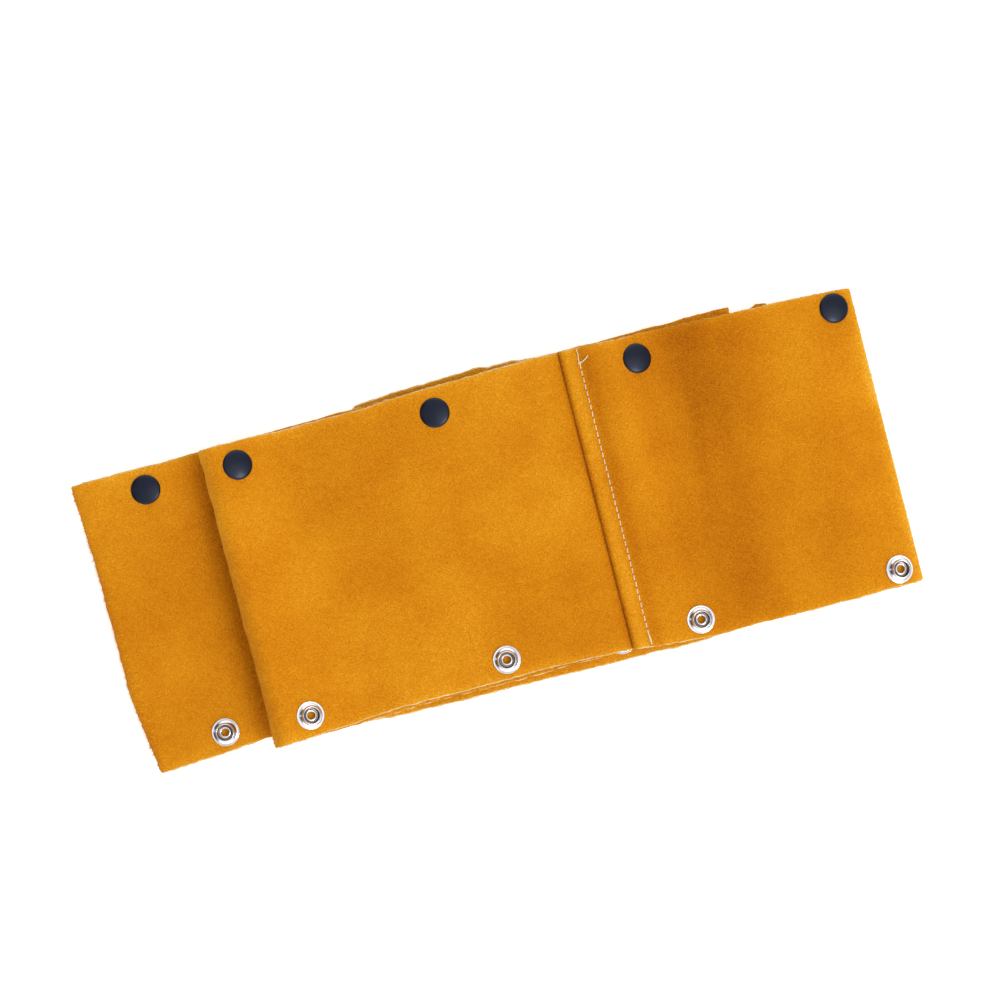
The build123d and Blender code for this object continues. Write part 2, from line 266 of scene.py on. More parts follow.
def top_lift(x, y):
    """The top panel's own waves: steeper off fold 4, a ridge and a trough past the seam, and the end."""
    cap_side = toward_caps(y)
    left = x - FOLDS[4]["outer"]
    lift = 1.3 * hump(left, 6, 11) - 0.9 * hump(left, 40, 17)
    lift += (1.2 + 2.6 * cap_side) * hump(x, SEAM_5_CAP[0] - 14.5, 11)
    lift -= (0.6 + 2.3 * cap_side) * hump(x, SEAM_5_CAP[0] + 16.5 + 5 * waver(y, 34, 3), 12)
    lift += (0.7 + 0.5 * cap_side) * hump(x, SEAM_5_CAP[0] + 54, 20)
    right = RIGHT_END - x
    lift += 1.5 * hump(right, 29, 13) - 1.7 * hump(right, 0, 8)
    lift += 0.9 * hump(x, SEAM[5] - 46, 26) * ease((60 - np.abs(y)) / 60)
    return lift


# How far the snaps press the leather in, with the lowest ones standing on the floor instead
DIMPLE = {panel: 0.25 if FACE_UP[panel] else -0.25 for panel in PANELS}
DIMPLE[1] = 0.0

# How far each panel sags between the snaps, and how far from a fold it lies level again
SAG = {1: 0.9, 2: 1.2, 3: 1.1, 4: 1.2, 5: 0.9}
FOLD_STIFF = 26

# How far the free long edges under the top panel curl up toward it
EDGE_CURL = {3: 2.8, 4: 3.6}


def edge_curl(panel, x, y):
    """The long edges' upward curl, away from the snaps, the seam and the folds."""
    clear = 1 - hump(x, SEAM[5] + 6, 14)
    for centre in snaps_of(panel):
        clear = clear * (1 - hump(x, centre[0], 10) * (centre[1] * y > 0))
    under = ease((x - FOLDS[4]["outer"] - 6) / 20) * ease((FOLDS[3]["outer"] - 12 - x) / 20)
    return EDGE_CURL[panel] * clear * under * ease((np.abs(y) - 68) / 8)


def lift(panel, x, y):
    """Height of a panel's leather above its flat CAD level."""
    waves = 0.42 * field(x, y, 47, 10 + panel) + 0.16 * field(x, y, 15, 20 + panel)
    sag = SAG[panel] * (np.abs(field(x, y, 61, 30 + panel)) + 0.3)
    at_fold = np.ones_like(x)
    for fold in (panel - 1, panel):
        if fold in FOLDS:
            at_fold = np.minimum(at_fold, ease(np.abs(x - FOLDS[fold]["x"]) / FOLD_STIFF))
    height = (waves - sag) * (1 - held(panel, x, y)) * at_fold
    if panel == 5:
        height = height + top_lift(x, y)
    if panel in EDGE_CURL:
        height = height + edge_curl(panel, x, y)
    if panel in SEAM:
        height = height - 0.7 * hump(x, SEAM[panel] - 1.0, 1.9) + 0.55 * hump(x, SEAM[panel] + 5, 4)
    for centre in snaps_of(panel):
        distance = np.hypot(x - centre[0], y - centre[1])
        height = height - DIMPLE[panel] * hump(distance, 0, 8.5)
    return height


def bend_away(past, run, angle):
    """How far leather has left level, curving over a run until it slopes at the angle, then straight."""
    arc = run / math.sin(angle)
    turned = np.arcsin(np.clip(np.minimum(past, run) / arc, 0, 1))
    return np.where(past > 0, arc * (1 - np.cos(turned)), 0) + np.maximum(past - run, 0) * math.tan(angle)


def rest_height(panel, x):
    """Height of the middle of a panel's leather in the CAD model, away from its seam."""
    x = np.asarray(x, float)
    z = np.full(x.shape, MIDDLE[panel])
    if panel != 5:
        return z
    z = z + bend_away(LEVEL_FROM - (x - FOLDS[4]["outer"]), LEVEL_FROM - SLOPE_END, SLOPE)
    return z - bend_away(x - (RIGHT_END - DROOP_FROM), DROOP_FROM - DROOP_STRAIGHT, DROOP)


def surface_height(panel, x, y):
    x, y = np.asarray(x, float), np.asarray(y, float)
    return rest_height(panel, x) + lift(panel, x, y)


def surface_frame(panel, x, y):
    """The point on the middle of a panel's leather above (x, y), and the leather's slopes there."""
    reach = 5.0
    z = surface_height(panel, x, y)
    slope_x = (surface_height(panel, x + reach, y) - surface_height(panel, x - reach, y)) / (2 * reach)
    slope_y = (surface_height(panel, x, y + reach) - surface_height(panel, x, y - reach)) / (2 * reach)
    return float(z), float(slope_x), float(slope_y)


# ---- The strip's middle line in X and Z, as stretches joined end to end ----


def stretch(part, panel_a, panel_b, xs, zs):
    """Points of one piece of the line. The leather's lift turns from panel_a's to panel_b's along it."""
    xs, zs = np.asarray(xs, float), np.asarray(zs, float)
    turn = np.linspace(0, 1, len(xs)) if panel_a != panel_b else np.zeros(len(xs))
    count = len(xs)
    return {"part": [part] * count, "a": [panel_a] * count, "b": [panel_b] * count,
            "x": list(xs), "z": list(zs), "turn": list(ease(turn))}


def level_run(part, panel, x0, x1, z=None, step=None):
    step = step or (TOP_STEP if panel == 5 else HIDDEN_STEP)
    xs = np.linspace(x0, x1, max(2, int(abs(x1 - x0) / step) + 1))
    zs = rest_height(panel, xs) if z is None else np.full(len(xs), z)
    return stretch(part, panel, panel, xs, zs)


def arc_run(part, panel_a, panel_b, centre, radius, start, end, step=0.9):
    """An arc round a centre from one angle to another, in degrees."""
    count = max(5, int(abs(math.radians(end - start)) * radius / step) + 1)
    angles = np.radians(np.linspace(start, end, count))
    xs = centre[0] + radius * np.cos(angles)
    zs = centre[1] + radius * np.sin(angles)
    return stretch(part, panel_a, panel_b, xs, zs)


def join(stretches):
    """One line from stretches whose ends meet."""
    line = {key: list(value) for key, value in stretches[0].items()}
    for piece in stretches[1:]:
        for key in line:
            line[key] += piece[key][1:]
    return {key: np.array(value) for key, value in line.items()}


def tuck(part, panel):
    """The left hide's end: it dips into the valley and lies under the seam."""
    seam, z = SEAM[panel], MIDDLE[panel]
    return [
        arc_run(part, panel, panel, (seam - 2 * TURN, z - TURN), TURN, 90, 0, 0.25),
        arc_run(part, panel, panel, (seam, z - TURN), TURN, 180, 270, 0.25),
        level_run(part, panel, seam, seam + ALLOWANCE, z - 2 * TURN, HIDDEN_STEP),
    ]


def turned_band(part, panel):
    """The right hide's start: its allowance under the seam, the turn, the raised band and the ramp."""
    seam, z = SEAM[panel], MIDDLE[panel]
    turn_x = seam + TURN + 0.1
    ramp = np.linspace(seam + ALLOWANCE, seam + ALLOWANCE + RAMP, 9)
    drop = ease((ramp - ramp[0]) / RAMP)
    return [
        level_run(part, panel, seam + ALLOWANCE, turn_x, z, HIDDEN_STEP),
        arc_run(part, panel, panel, (turn_x, z + TURN), TURN, 270, 90, 0.25),
        level_run(part, panel, turn_x, ramp[0], z + 2 * TURN, 1.0),
        stretch(part, panel, panel, ramp, z + 2 * TURN * (1 - drop)),
    ]


def fold_run(fold):
    """The line round a fold, with a short lap of each panel."""
    shape = FOLDS[fold]
    side, radius, x, z = shape["side"], shape["radius"], shape["x"], MIDDLE[fold]
    part = f"fold_{fold}"
    centre = (x, z + radius)
    start, end = (-90, 90) if side > 0 else (270, 90)
    if fold == 4:
        end -= math.degrees(SLOPE)
    round_it = arc_run(part, fold, fold + 1, centre, radius, start, end)
    lap_end = x - side * FOLD_LAP
    first = level_run(part, fold, lap_end, x, z, 1.0)
    if fold == 4:
        top_x = round_it["x"][-1]
        last = level_run(part, fold + 1, top_x, top_x + FOLD_LAP, None, 1.0)
    else:
        last = level_run(part, fold + 1, x, lap_end, MIDDLE[fold + 1], 1.0)
    return [first, round_it, last]


def fold_start(fold):
    return FOLDS[fold]["x"] - FOLDS[fold]["side"] * FOLD_LAP


def fold_end(fold):
    if fold != 4:
        return fold_start(fold)
    return FOLDS[4]["x"] + FOLDS[4]["radius"] * math.sin(SLOPE) + FOLD_LAP


def hide_lines():
    """The four hides that the strip is sewn from, each a line from one end to the other."""
    seam_start = {panel: SEAM[panel] - 2 * TURN for panel in SEAM}
    past_seam = {panel: SEAM[panel] + ALLOWANCE + RAMP for panel in SEAM}
    first = [level_run("panel_1_left", 1, LEFT_END, seam_start[1]), *tuck("panel_1_left", 1)]
    second = [
        *turned_band("panel_1_right", 1),
        level_run("panel_1_right", 1, past_seam[1], fold_start(1)),
        *fold_run(1),
        level_run("panel_2", 2, fold_end(1), fold_start(2)),
        *fold_run(2),
        level_run("panel_3_left", 3, fold_end(2), seam_start[3]),
        *tuck("panel_3_left", 3),
    ]
    third = [
        *turned_band("panel_3_right", 3),
        level_run("panel_3_right", 3, past_seam[3], fold_start(3)),
        *fold_run(3),
        level_run("panel_4", 4, fold_end(3), fold_start(4)),
        *fold_run(4),
        level_run("panel_5_left", 5, fold_end(4), seam_start[5]),
        *tuck("panel_5_left", 5),
    ]
    fourth = [
        *turned_band("panel_5_right", 5),
        level_run("panel_5_right", 5, past_seam[5], RIGHT_END),
    ]
    return [join(pieces) for pieces in (first, second, third, fourth)]


# ---- The leather's surface as grids of points ----


def across_shares():
    """Where the rows across the strip lie, from 0 at the stud edge to 1 at the cap edge."""
    width = 152.0
    edge_rows = np.array([0.0, 0.5, 1.1, 1.9, 2.9])
    inner = np.linspace(4.1, width - 4.1, int((width - 8.2) / ACROSS_STEP))
    return np.concatenate([edge_rows, inner, width - edge_rows[::-1]]) / width


def ragged(along, side, hide):
    """How far the hand-cut edge wanders from its line."""
    seed = 50 + hide + (7 if side > 0 else 0)
    return 0.3 * waver(along, 11, seed) + 0.16 * waver(along, 2.6, seed + 1)


def edge_y(line, side):
    """The long edge's y beside each point of the line."""
    xs, panel = line["x"], line["a"]
    ya = np.array([np.interp(x, *EDGES[(a, side)]) for x, a in zip(xs, panel)])
    yb = np.array([np.interp(x, *EDGES[(b, side)]) for x, b in zip(xs, line["b"])])
    edge = ya * (1 - line["turn"]) + yb * line["turn"]
    if side < 0:
        # Panel 4 is cut in a little over the third stud of panel 3, which shows there
        edge = edge + 2.6 * hump(xs, STUDS[3][2][0], 9) * (panel == 4)
        # The lowest two panels stay hidden under the turned-out end of panel 3
        cover = np.interp(xs, *EDGES[(3, -1)]) + 0.8
        turned_out = ease((FOLDS[4]["outer"] + 40 - xs) / 30) * (panel < 3) * (line["b"] < 3)
        edge = edge + turned_out * np.maximum(cover - edge, 0)
    else:
        edge = edge - FOLD_2_CORNER * hump(xs, FOLDS[2]["outer"], 3) * (line["part"] == "fold_2")
    near_end = np.clip(CORNER[side] - (RIGHT_END - xs), 0, CORNER[side]) * (panel == 5)
    return edge - side * (CORNER[side] - np.sqrt(CORNER[side] ** 2 - near_end ** 2))


def lean_offset(line, y):
    """How far fold 2's slanted line moves each point along X."""
    shape = FOLDS[2]
    near = np.zeros(len(line["x"]))
    beside = np.isin(line["part"], ("fold_2", "panel_2", "panel_3_left"))
    near[beside] = ease(1 - (line["x"][beside] - shape["x"]) / 60)
    return near[:, None] * (y - shape["y"]) * shape["lean"]


def hide_grid(line, hide, along_start):
    """Points, normals and strip coordinates over a hide's middle surface."""
    along = along_start + running_length(np.stack([line["x"], line["z"]], -1))
    low = edge_y(line, -1) + ragged(along, -1, hide)
    high = edge_y(line, 1) + ragged(along, 1, hide)
    share = across_shares()[None, :]
    y = low[:, None] * (1 - share) + high[:, None] * share
    x = line["x"][:, None] + lean_offset(line, y)
    z = np.repeat(line["z"][:, None], y.shape[1], 1)
    turn = line["turn"][:, None]
    heights = {panel: lift(panel, x, y) for panel in sorted(set(line["a"]) | set(line["b"]))}
    lift_a = np.stack([heights[a][i] for i, a in enumerate(line["a"])])
    lift_b = np.stack([heights[b][i] for i, b in enumerate(line["b"])])
    z = z + lift_a * (1 - turn) + lift_b * turn
    x = x + bulge(line, y)
    points = np.stack([x, y, z], -1)
    along_grid = np.repeat(along[:, None], y.shape[1], 1)
    return points, grid_normals(points), np.stack([along_grid, y], -1)


def bulge(line, y):
    """Each fold's nose wanders in and out a little along its length."""
    amount = np.zeros_like(y)
    for fold, shape in FOLDS.items():
        rows = line["part"] == f"fold_{fold}"
        out = np.clip(shape["side"] * (line["x"] - shape["x"]) / shape["radius"], 0, 1)
        wander = 0.7 * waver(y, 38, 80 + fold) + 0.25 * waver(y, 9, 90 + fold)
        wander = wander + 0.2 * waver(y, 3.6, 95 + fold)
        if fold == 2:
            # Its stud side bellies out before the corner, and it all stands a little past the CAD's line
            wander = wander + 1.1 * ease((y + 76) / 30) + 2.3 * hump(y, -36, 24)
        amount += shape["side"] * (rows * out)[:, None] * wander
    return amount


def grid_normals(points):
    """Unit normals of a grid, on the side of the leather's face."""
    along = np.gradient(points, axis=0)
    across = np.gradient(points, axis=1)
    return unit(np.cross(along, across))


# ---- Making meshes ----


def new_piece(name, vertices, faces, material_list, face_materials=None):
    """A mesh object from millimetre points."""
    mesh = bpy.data.meshes.new(name)
    mesh.from_pydata([tuple(v) for v in np.asarray(vertices) * MM], [], [tuple(f) for f in faces])
    for material in material_list:
        mesh.materials.append(material)
    if face_materials is not None:
        mesh.polygons.foreach_set("material_index", np.asarray(face_materials, np.int32))
    mesh.polygons.foreach_set("use_smooth", np.ones(len(mesh.polygons), bool))
    obj = bpy.data.objects.new(name, mesh)
    bpy.context.scene.collection.objects.link(obj)
    return obj


def grid_quads(rows, columns, closed_rows=False, closed_columns=False):
    """Quads of a grid of points, joined up round the directions that are closed."""
    index = np.arange(rows * columns).reshape(rows, columns)
    if closed_rows:
        index = np.vstack([index, index[:1]])
    if closed_columns:
        index = np.hstack([index, index[:, :1]])
    return np.stack([index[:-1, :-1], index[1:, :-1], index[1:, 1:], index[:-1, 1:]], -1).reshape(-1, 4)


def tube_quads(rings, sides):
    """Quads round a tube, facing outward."""
    return grid_quads(rings, sides, closed_columns=True)[:, [0, 3, 2, 1]]


def border_edges(quads):
    """The directed edges that only one quad has."""
    edges = np.concatenate([quads[:, [k, (k + 1) % 4]] for k in range(4)])
    seen = {(int(a), int(b)) for a, b in edges}
    return [(a, b) for a, b in sorted(seen) if (b, a) not in seen]


def outward_directions(points, cut_start, cut_end):
    """At the cut edges, the way out of the leather; zero elsewhere."""
    out = np.zeros_like(points)
    out[:, 0] = points[:, 0] - points[:, 1]
    out[:, -1] = points[:, -1] - points[:, -2]
    if cut_start:
        out[0] += points[0] - points[1]
    if cut_end:
        out[-1] += points[-1] - points[-2]
    length = np.linalg.norm(out, axis=-1, keepdims=True)
    return np.where(length > 1e-9, out / np.maximum(length, 1e-9), 0)


def tone_and_painted_light(points, strip, part):
    """How light (above 0) or deep (below 0) the leather's colour is: random tone and paler edges, with
    painted light and shade at the folds, the seam and the top panel's waves.
    """
    x, y = points[..., 0], points[..., 1]
    past_fold_4 = x - FOLDS[4]["outer"]
    tone = 0.25 * field(strip[..., 0], strip[..., 1], 30, 71)
    # Paler along the long edges, where the cut nap is lighter; on the lower panels the band is wider, and
    # stronger past fold 4, as painted light against the top panel's shadow where they peek out
    edge = np.minimum(np.abs(y - y[:, :1]), np.abs(y[:, -1:] - y))
    if part.startswith("panel_5"):
        tone = tone + 0.55 * fade(edge, 2.2)
    else:
        tone = tone + (0.45 + 0.3 * ease(past_fold_4 / 20)) * fade(edge, 4)
    # Painted highlight on fold 4's rounded nose and faint painted shade just past it; painted shadow cast
    # by the fold on panel 3 beside it
    if part in ("panel_5_left", "fold_4"):
        tone = tone + 0.5 * fade(past_fold_4, 1.5) - 0.1 * hump(past_fold_4, 14, 10)
    if part.startswith("panel_3"):
        tone = tone - 1.1 * fade(-past_fold_4, 6) * (past_fold_4 < 4)
    # Painted shade on the left hide where it dips into the seam's valley
    if part == "panel_5_left":
        tone = tone - 0.8 * fade(SEAM[5] - x, 2)
    if part == "panel_5_right":
        tone = tone + top_right_painted_light_and_streaks(x, y)
    return tone


def top_right_painted_light_and_streaks(x, y):
    """Painted light and shade past the top panel's seam, over random streaks: shade in the valley, the dip
    past the stitches and the trough, and highlights on the band, the ridges and the drooping loose end.
    """
    band = x - SEAM[5]
    past_cap = x - SEAM_5_CAP[0]
    cap_side = toward_caps(y)
    bent = x + 5 * waver(y, 42, 74)
    streaks = 0.6 * field(bent, y / 4, 13, 72) + 0.3 * field(bent, y / 3, 7, 73)
    # Painted shade in the trough past the seam's cap, broken up by random streaks
    dark = hump(bent, SEAM_5_CAP[0] + 24, 24) * (0.8 + 0.4 * cap_side)
    # Painted highlight on the raised band, painted shade in the seam's valley and in the dip past the
    # stitches
    tone = 0.5 * hump(band, 4.6, 3.6) - 1.2 * hump(band, 0, 1.1) - 0.45 * hump(band, 12.5, 4)
    tone = tone - dark * (0.58 + 0.6 * streaks) - 0.12 + 0.12 * streaks
    # Painted highlights on the ridge before the cap and on the rise well past it
    tone = tone + 0.3 * hump(past_cap, -12, 7) * cap_side + 0.1 * hump(past_cap, 62, 18)
    # Painted highlight on the loose end where it bends down
    return tone + 1.1 * fade(RIGHT_END - x, 3.2)


def leather_piece(part, points, normals, strip, cut_start, cut_end, seed):
    """A watertight sheet of leather: face, back, and a fibrous rim along its cut edges."""
    count = points.shape[0] * points.shape[1]
    quads = grid_quads(*points.shape[:2])
    out = outward_directions(points, cut_start, cut_end).reshape(-1, 3)
    rng = np.random.default_rng(seed)
    fray = 0.30 if part.startswith("panel_5") else 0.48
    push = fray + 0.30 * rng.uniform(-1, 1, (count, 1))
    flat_points, flat_normals = points.reshape(-1, 3), normals.reshape(-1, 3)
    top = flat_points + HALF * flat_normals - CUT_SLANT[0] * out
    bottom = flat_points - HALF * flat_normals + CUT_SLANT[1] * out
    rim = flat_points + out * push + flat_normals * 0.18 * rng.uniform(-1, 1, (count, 1))
    border = np.array(border_edges(quads))
    a, b = border[:, 0], border[:, 1]
    upper_rim = np.stack([b, a, a + 2 * count, b + 2 * count], -1)
    lower_rim = np.stack([b + 2 * count, a + 2 * count, a + count, b + count], -1)
    faces = np.concatenate([quads, quads[:, ::-1] + count, upper_rim, lower_rim])
    kinds = np.repeat([FACE, BACK, CUT], [len(quads), len(quads), 2 * len(border)])
    vertices = np.concatenate([top, bottom, rim])
    used = np.unique(faces)
    renumber = np.full(3 * count, -1)
    renumber[used] = np.arange(len(used))
    obj = new_piece(f"leather_{part}", vertices[used], renumber[faces], LEATHER_MATERIALS, kinds)
    add_strip_map(obj.data, np.tile(strip.reshape(-1, 2), (3, 1))[used])
    tone = tone_and_painted_light(points, strip, part).reshape(-1)
    attribute = obj.data.attributes.new("tone", "FLOAT", "POINT")
    attribute.data.foreach_set("value", np.tile(tone, 3)[used].astype(np.float32))
    set_normals(obj.data, np.concatenate([flat_normals, -flat_normals, 0 * flat_normals])[used], kinds)
    return obj


def corner_vertices(mesh):
    """The vertex at each corner of each face."""
    vertices = np.empty(len(mesh.loops), np.int32)
    mesh.loops.foreach_get("vertex_index", vertices)
    return vertices


def add_strip_map(mesh, coordinates):
    """UVs in metres along and across the strip, so that the nap never stretches or slides."""
    layer = mesh.uv_layers.new(name="strip")
    layer.data.foreach_set("uv", (coordinates[corner_vertices(mesh)] * MM).ravel())


def set_normals(mesh, vertex_normals, kinds):
    """Custom normals that run on smoothly from one piece of leather to the next, but not on cut edges."""
    custom = vertex_normals[corner_vertices(mesh)].copy()
    custom[np.repeat(kinds, 4) == CUT] = 0
    mesh.normals_split_custom_set([tuple(n) for n in custom])


# ---- Tubes, lathed pieces and fibres ----


def ring_round(side, up, count):
    """Directions all round each point of a line, from its two directions across."""
    angles = np.linspace(0, 2 * math.pi, count, endpoint=False)
    return np.cos(angles)[None, :, None] * side[:, None] + np.sin(angles)[None, :, None] * up[:, None]


def tube(points, radius, sides=8):
    """Vertices and faces of a closed tube along points, thinner at its two ends."""
    points = np.asarray(points, float)
    tangents = unit(np.gradient(points, axis=0))
    side = np.cross(tangents, [0.0, 0.0, 1.0])
    steep = np.linalg.norm(side, axis=1) < 0.2
    side[steep] = np.cross(tangents[steep], [0.0, 1.0, 0.0])
    side = unit(side)
    radii = np.full(len(points), float(radius))
    radii[[0, -1]] *= 0.55
    ring = ring_round(side, np.cross(side, tangents), sides)
    vertices = (points[:, None] + radii[:, None, None] * ring).reshape(-1, 3)
    first = tuple(range(sides))
    last = tuple(range((len(points) - 1) * sides, len(points) * sides))
    return vertices, [tuple(q) for q in tube_quads(len(points), sides)] + [first[::-1], last]


def merge(shapes):
    """One list of vertices and faces from several."""
    vertices, faces, offset = [], [], 0
    for points, polygons in shapes:
        vertices.append(points)
        faces += [tuple(i + offset for i in polygon) for polygon in polygons]
        offset += len(points)
    return np.concatenate(vertices), faces


# A profile's point nearer the axis than this is on it, and there the shape closes by itself
ON_AXIS = 0.02


def lathe(profile, segments=56):
    """The closed shape turned from a closed profile of (radius, height) points."""
    profile = np.asarray(profile, float)
    angles = np.linspace(0, 2 * math.pi, segments, endpoint=False)
    x = profile[:, 0][None, :] * np.cos(angles)[:, None]
    y = profile[:, 0][None, :] * np.sin(angles)[:, None]
    z = np.repeat(profile[:, 1][None, :], segments, 0)
    vertices = np.stack([x, y, z], -1).reshape(-1, 3)
    quads = grid_quads(segments, len(profile), True, profile[0, 0] > ON_AXIS)
    return vertices, [tuple(q) for q in quads]


def rounded(points, reach, steps=4):
    """A closed profile with each corner cut back by reach and rounded."""
    points = np.asarray(points, float)
    result = []
    for before, corner, after in zip(np.roll(points, 1, 0), points, np.roll(points, -1, 0)):
        if corner[0] < ON_AXIS:
            result.append(corner)
            continue
        into, out_of = before - corner, after - corner
        room_in, room_out = np.linalg.norm(into), np.linalg.norm(out_of)
        start = corner + into / room_in * min(reach, 0.42 * room_in)
        end = corner + out_of / room_out * min(reach, 0.42 * room_out)
        for t in np.linspace(0, 1, steps):
            result.append((1 - t) ** 2 * start + 2 * t * (1 - t) * corner + t * t * end)
    return np.array(result)


# ---- Materials ----


def shown(*stops):
    """Ramp stops from (position, red, green, blue) as shown on screen."""
    return [(position, srgb(*colour)) for position, *colour in stops]


def srgb(red, green, blue):
    """A colour as shown on screen, 0 to 255, as the linear colour that a shader takes."""
    level = np.array([red, green, blue]) / 255
    linear = np.where(level < 0.04045, level / 12.92, ((level + 0.055) / 1.055) ** 2.4)
    return (*[float(c) for c in linear], 1.0)


class Nodes:
    """Short ways to add nodes to a material's or the world's tree."""

    def __init__(self, owner):
        owner.use_nodes = True
        self.tree = owner.node_tree

    def add(self, kind, settings=None, **inputs):
        made = self.tree.nodes.new(kind)
        for key, value in (settings or {}).items():
            setattr(made, key, value)
        for key, value in inputs.items():
            self.put(made.inputs[key.replace("_", " ")], value)
        return made

    def put(self, socket, value):
        """Links a socket's source, or sets its value."""
        if isinstance(value, bpy.types.NodeSocket):
            self.tree.links.new(value, socket)
        else:
            socket.default_value = value

    def two(self, kind, operation, a, b):
        """A node that works on its first two inputs."""
        made = self.add(kind, {"operation": operation})
        self.put(made.inputs[0], a)
        self.put(made.inputs[1], b)
        return made

    def math(self, operation, a, b):
        return self.two("ShaderNodeMath", operation, a, b).outputs[0]


class Shader(Nodes):
    """A new material with the nodes that these materials share. Its noise lies in space or on the strip."""

    def __init__(self, name, roughness, metallic=0.0, on_strip=False):
        self.material = bpy.data.materials.new(name)
        super().__init__(self.material)
        self.surface = self.tree.nodes["Principled BSDF"]
        self.surface_is(Roughness=roughness, Metallic=metallic)
        if on_strip:
            self.place = self.add("ShaderNodeUVMap", {"uv_map": "strip"}).outputs["UV"]
        else:
            self.place = self.add("ShaderNodeTexCoord").outputs["Object"]

    # The tone attribute: random tone and pale edges, with painted light and shade
    def tone(self):
        return self.add("ShaderNodeAttribute", {"attribute_name": "tone"}).outputs["Fac"]

    def noise(self, scale, detail=3.0, roughness=0.6, squeeze=(1, 1, 1), turn=0.0):
        """Noise centred on zero, from about -0.5 to 0.5."""
        mapping = self.add("ShaderNodeMapping", Vector=self.place, Scale=squeeze, Rotation=(0, 0, turn))
        made = self.add("ShaderNodeTexNoise", Vector=mapping.outputs[0], Scale=scale,
                        Detail=detail, Roughness=roughness)
        return self.math("SUBTRACT", made.outputs["Fac"], 0.5)

    def weighted(self, terms, start=0.0):
        """The sum of (value, weight) pairs."""
        total = start
        for value, weight in terms:
            total = self.math("ADD", self.math("MULTIPLY", value, weight), total)
        return total

    def ramp(self, value, stops):
        made = self.add("ShaderNodeValToRGB", Fac=value)
        elements = made.color_ramp.elements
        while len(elements) < len(stops):
            elements.new(0.5)
        for element, (position, colour) in zip(elements, stops):
            element.position = position
            element.color = colour
        return made.outputs["Color"]

    def bump(self, height, distance, strength, normal=None):
        made = self.add("ShaderNodeBump", Height=height, Distance=distance, Strength=strength)
        if normal:
            self.put(made.inputs["Normal"], normal)
        return made.outputs["Normal"]

    def surface_is(self, **inputs):
        for key, value in inputs.items():
            self.put(self.surface.inputs[key.replace("_", " ")], value)
        return self.material


def suede(name, stops, coarse=1.0):
    """Napped split leather: short streaky fibres over soft mottling, with the tone attribute's pale edges
    and painted light and shade.
    """
    shader = Shader(name, 0.92, on_strip=True)
    tone = shader.tone()
    fine, wide = 1700 / coarse, 620 / coarse
    hairs = shader.noise(2700 / coarse, 3, 0.7)
    grain = shader.noise(1250 / coarse, 3, 0.65)
    streak = shader.noise(1.0, 2, 0.6, (wide, fine, 1), 0.7)
    cross_streak = shader.noise(1.0, 2, 0.6, (fine, wide, 1), 0.5)
    clumps = shader.noise(330)
    mottle = shader.noise(62, 4, 0.62)
    clouds = shader.noise(19, 3, 0.5)
    value = shader.weighted([
        (hairs, 0.44), (grain, 0.56), (streak, 0.34), (cross_streak, 0.32), (clumps, 0.18),
        (mottle, 0.12), (clouds, 0.10), (tone, 0.24),
    ], 0.5)
    nap = shader.weighted([(hairs, 0.5), (grain, 0.9), (streak, 0.7), (cross_streak, 0.7), (clumps, 0.4)])
    lumps = shader.weighted([(mottle, 1.0), (clumps, 0.4)])
    normal = shader.bump(lumps, 0.0012, 0.3, shader.bump(nap, 0.0007, 0.7))
    dye = shader.weighted([
        (shader.noise(38, 3, 0.55), 1.0), (shader.noise(170), 0.6),
    ], 0.5)
    deeper, paler = (0.97, 0.93, 0.88, 1), (1.01, 1.03, 1.06, 1)
    shade = shader.ramp(dye, [(0.34, deeper), (0.52, (1, 1, 1, 1)), (0.70, paler)])
    colour = shader.two("ShaderNodeVectorMath", "MULTIPLY", shader.ramp(value, stops), shade).outputs[0]
    return shader.surface_is(Base_Color=colour, Normal=normal, Specular_IOR_Level=0.08,
                             Sheen_Weight=0.12, Sheen_Roughness=0.4, Sheen_Tint=srgb(255, 206, 120))


def cut_edge():
    """The pale fibrous cut through the hide, palest where the leather's tone is highest, which brings in
    its painted light and shade as well as its pale rubbed edges.
    """
    shader = Shader("cut_edge", 0.95)
    hairs = shader.noise(2600, 4, 0.7)
    patches = shader.noise(420)
    value = shader.weighted([(hairs, 0.7), (patches, 0.6), (shader.tone(), 0.34)], 0.36)
    stops = shown((0.12, 178, 110, 18), (0.4, 202, 144, 54), (0.6, 216, 186, 130), (0.9, 232, 224, 206))
    return shader.surface_is(Base_Color=shader.ramp(value, stops), Normal=shader.bump(hairs, 0.0004, 0.6),
                             Specular_IOR_Level=0.1)


def enamel():
    """Blue-black enamel: satin, very slightly uneven, rubbed paler in fine scratches."""
    shader = Shader("cap_enamel", 0.34)
    peel = shader.noise(900, 2, 0.5)
    cloud = shader.noise(160)
    scratch = shader.noise(1.0, 3, 0.6, (300, 6000, 1), 0.6)
    value = shader.weighted([(cloud, 0.5), (peel, 0.15), (scratch, 0.28)], 0.5)
    stops = shown((0.2, 4, 6, 16), (0.55, 8, 12, 28), (0.78, 18, 24, 42), (0.95, 62, 68, 82))
    rough = shader.weighted([(cloud, 0.12), (scratch, 0.16)], 0.32)
    shader.surface_is(Specular_IOR_Level=0.34, Specular_Tint=srgb(214, 226, 255))
    return shader.surface_is(Base_Color=shader.ramp(value, stops), Roughness=rough,
                             Normal=shader.bump(peel, 0.00004, 0.5), Coat_Weight=0.08, Coat_Roughness=0.12)


